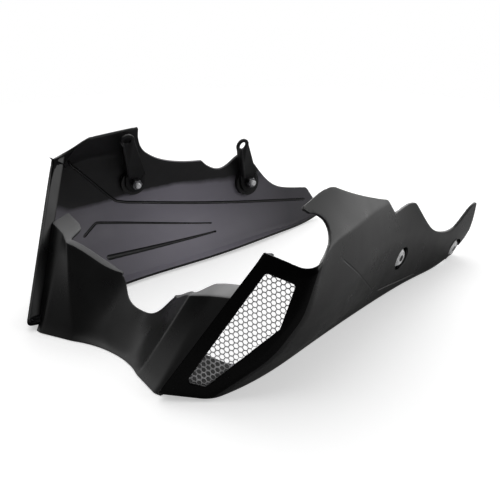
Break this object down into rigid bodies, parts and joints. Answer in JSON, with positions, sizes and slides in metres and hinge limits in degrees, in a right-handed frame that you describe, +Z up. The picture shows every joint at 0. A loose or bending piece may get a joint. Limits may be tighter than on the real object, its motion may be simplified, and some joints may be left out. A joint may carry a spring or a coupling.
{
  "type": "motorcycle belly pan",
  "caption": "Open moulded motorcycle belly pan: two side panels with mesh windows in front, a scooped nose between them, and strap brackets and bolts to hold it under the engine.",
  "frame": {"origin": "bottom centre of the whole part, on the floor that its lower edges rest on", "axes": "+X to the front of the motorcycle, +Y to the rider's left, +Z up"},
  "size_m": [0.459, 0.3582, 0.1586],
  "materials": {
    "shell": "satin black moulded",
    "mesh": "plain expanded mesh",
    "strap": "black powder coat",
    "fastener": "bright stainless"
  },
  "bodies": {
    "root": {"left_side_panel": "shell", "right_side_panel": "shell", "nose_panel": "shell", "left_mesh": "mesh", "right_mesh": "mesh", "front_strap": "strap", "rear_strap": "strap", "panel_bolts": "fastener", "panel_washers": "fastener", "panel_nuts": "fastener", "strap_bolts": "fastener", "strap_washers": "fastener", "strap_nuts": "fastener"}
  },
  "joints": []
}
